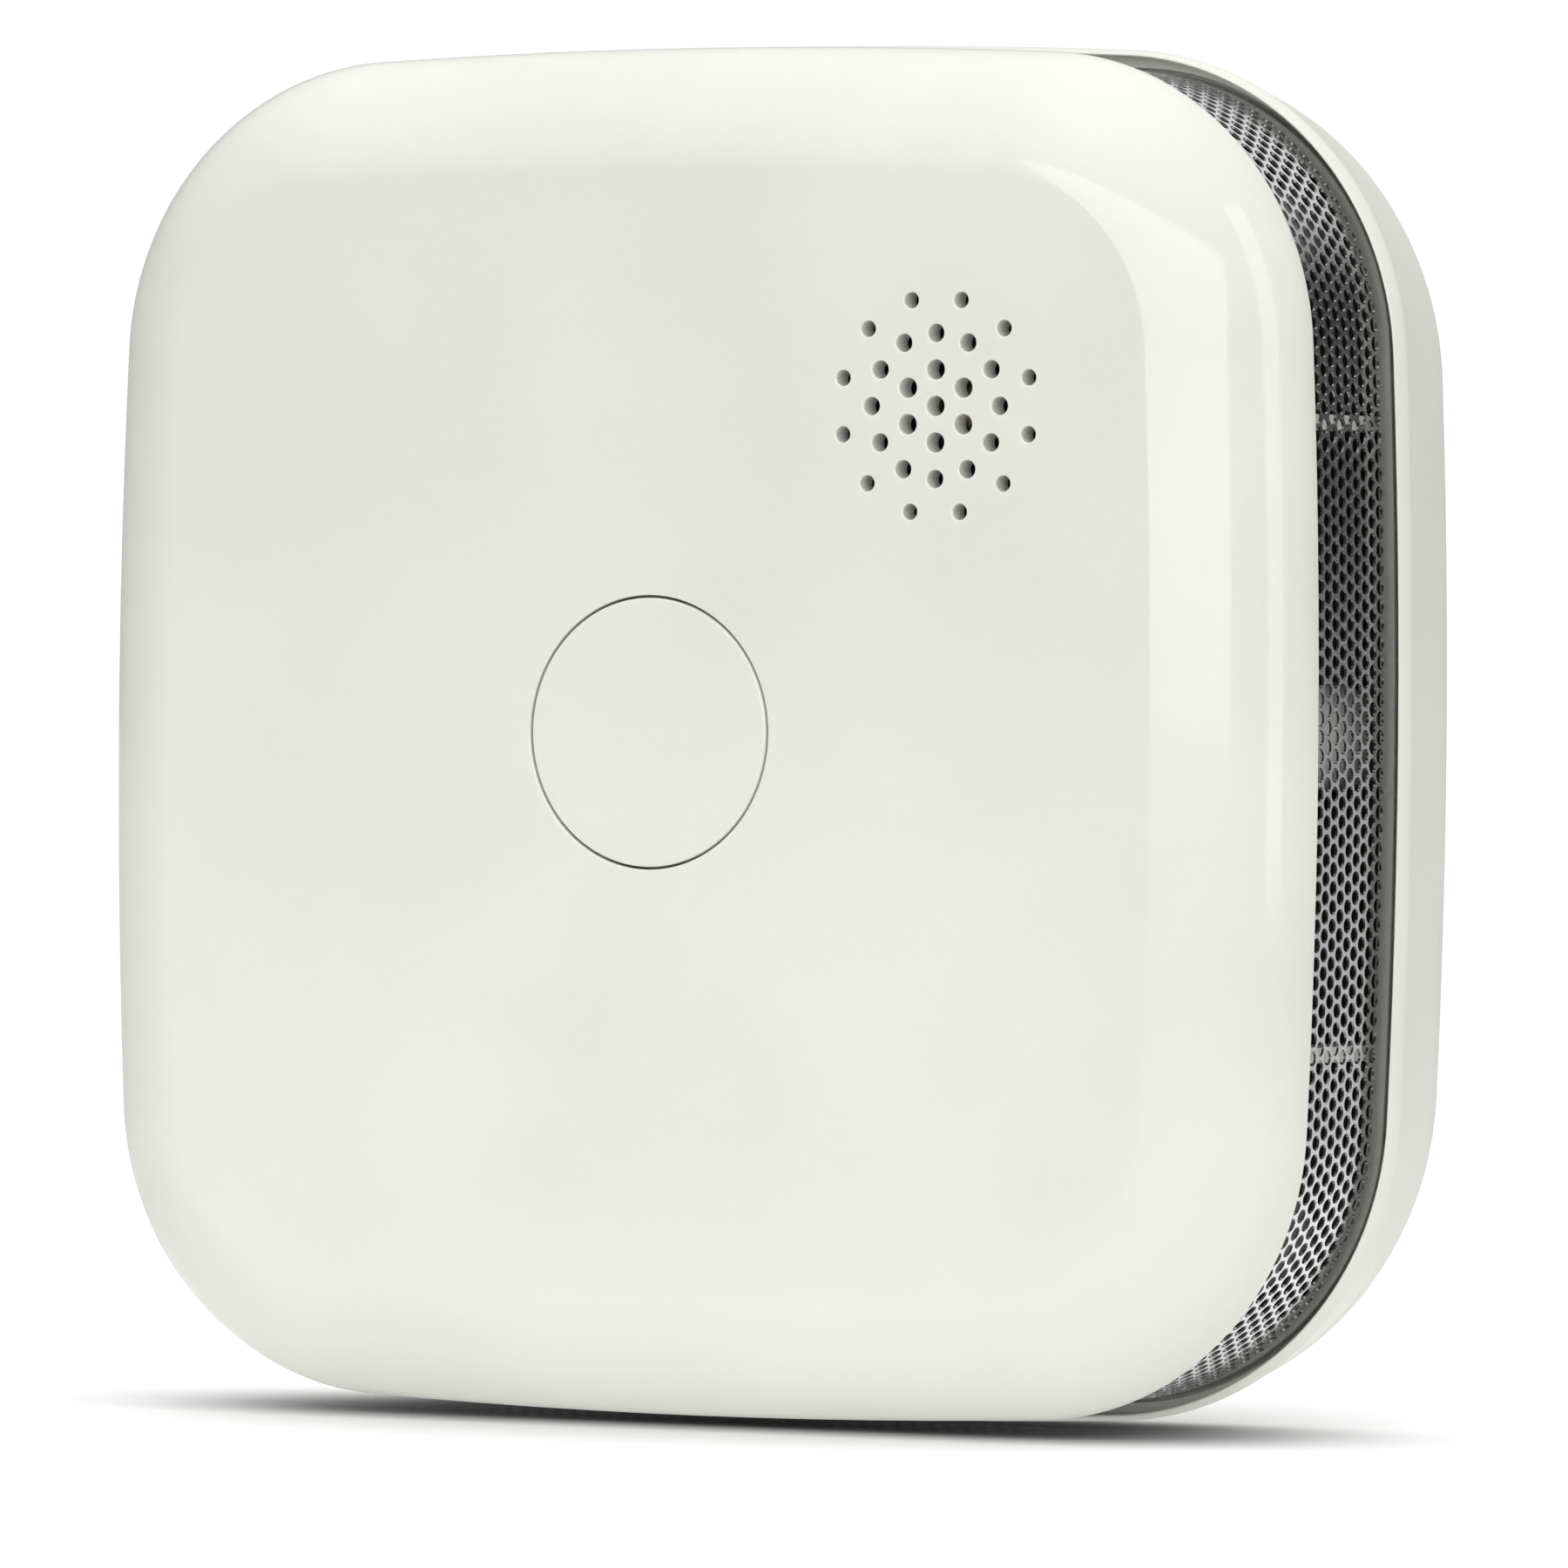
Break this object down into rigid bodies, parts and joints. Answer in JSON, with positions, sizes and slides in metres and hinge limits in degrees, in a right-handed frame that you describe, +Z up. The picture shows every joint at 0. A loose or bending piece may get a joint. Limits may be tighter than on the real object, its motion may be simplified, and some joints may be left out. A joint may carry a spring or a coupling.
{
  "type": "smoke detector",
  "caption": "Square wall or ceiling smoke detector with round corners, mesh-covered smoke inlet, test button and twist-lock wall plate.",
  "frame": {"origin": "centre of the wall plate, in the plane where it touches the wall", "axes": "+Y into the wall, away from the detector's face; +Z up the wall; +X to the right as seen from the room"},
  "size_m": [0.1114, 0.0376, 0.1114],
  "materials": {
    "white_gloss": "polished warm white ABS",
    "white_satin": "fine satin warm white ABS",
    "steel_mesh": "bright perforated stainless sheet",
    "black_plastic": "matt black moulding",
    "board_green": "green solder mask over copper tracks",
    "clear_blue": "water-clear bluish resin",
    "dark_lens": "dark infrared-pass resin",
    "brass": "rolled brass with a silvered ceramic",
    "foam": "closed-cell foam",
    "lead_red": "PVC insulation",
    "lead_black": "PVC insulation",
    "chip_black": "moulded epoxy",
    "led_clear": "clear resin",
    "capacitor_wrap": "shrink sleeve",
    "cell_wrap": "plain shrink sleeve",
    "nickel": "nickel-plated spring strip",
    "screw_steel": "zinc-plated steel"
  },
  "bodies": {
    "wall_plate": {"mounting_plate": "white_satin"},
    "detector": {"front_cover": "white_gloss", "insect_mesh": "steel_mesh", "rear_housing": "white_satin", "inner_frame": "black_plastic", "circuit_board": "board_green", "chamber_base": "black_plastic", "chamber_cap": "black_plastic", "ir_emitter": "clear_blue", "photodiode": "dark_lens", "sounder_cup": "black_plastic", "piezo_disc": "brass", "sounder_gasket": "foam", "sounder_lead_red": "lead_red", "sounder_lead_black": "lead_black", "switch_body": "chip_black", "button_retainer": "white_satin", "microcontroller": "chip_black", "status_led": "led_clear", "sounder_coil": "chip_black", "storage_capacitor": "capacitor_wrap", "battery": "cell_wrap", "battery_contact_positive": "nickel", "battery_contact_negative": "nickel", "battery_spring": "screw_steel", "case_screw_1": "screw_steel", "case_screw_2": "screw_steel", "case_screw_3": "screw_steel", "case_screw_4": "screw_steel", "board_screw_left": "screw_steel", "board_screw_right": "screw_steel"},
    "battery_door": {"battery_door": "white_satin"},
    "test_button": {"test_button": "white_gloss"},
    "switch_plunger": {"switch_plunger": "lead_black"}
  },
  "joints": [
    {"name": "detector_twist", "type": "hinge", "parent": "wall_plate", "child": "detector", "pos_m": [0, 0, 0], "axis": [0, -1, 0], "range_deg": [0, 15]},
    {"name": "battery_door_hinge", "type": "hinge", "parent": "detector", "child": "battery_door", "pos_m": [0, -0.0046, 0.0031], "axis": [1, 0, 0], "range_deg": [0, 95]},
    {"name": "button_press", "type": "slide", "parent": "detector", "child": "test_button", "axis": [0, 1, 0], "range_m": [0, 0.0006], "stiffness_N_per_m": 1200},
    {"name": "switch_travel", "type": "slide", "parent": "detector", "child": "switch_plunger", "axis": [0, 1, 0], "range_m": [0, 0.0006]}
  ],
  "couplings": [
    {"joint": "switch_travel", "follows": "button_press", "ratio": 1}
  ]
}
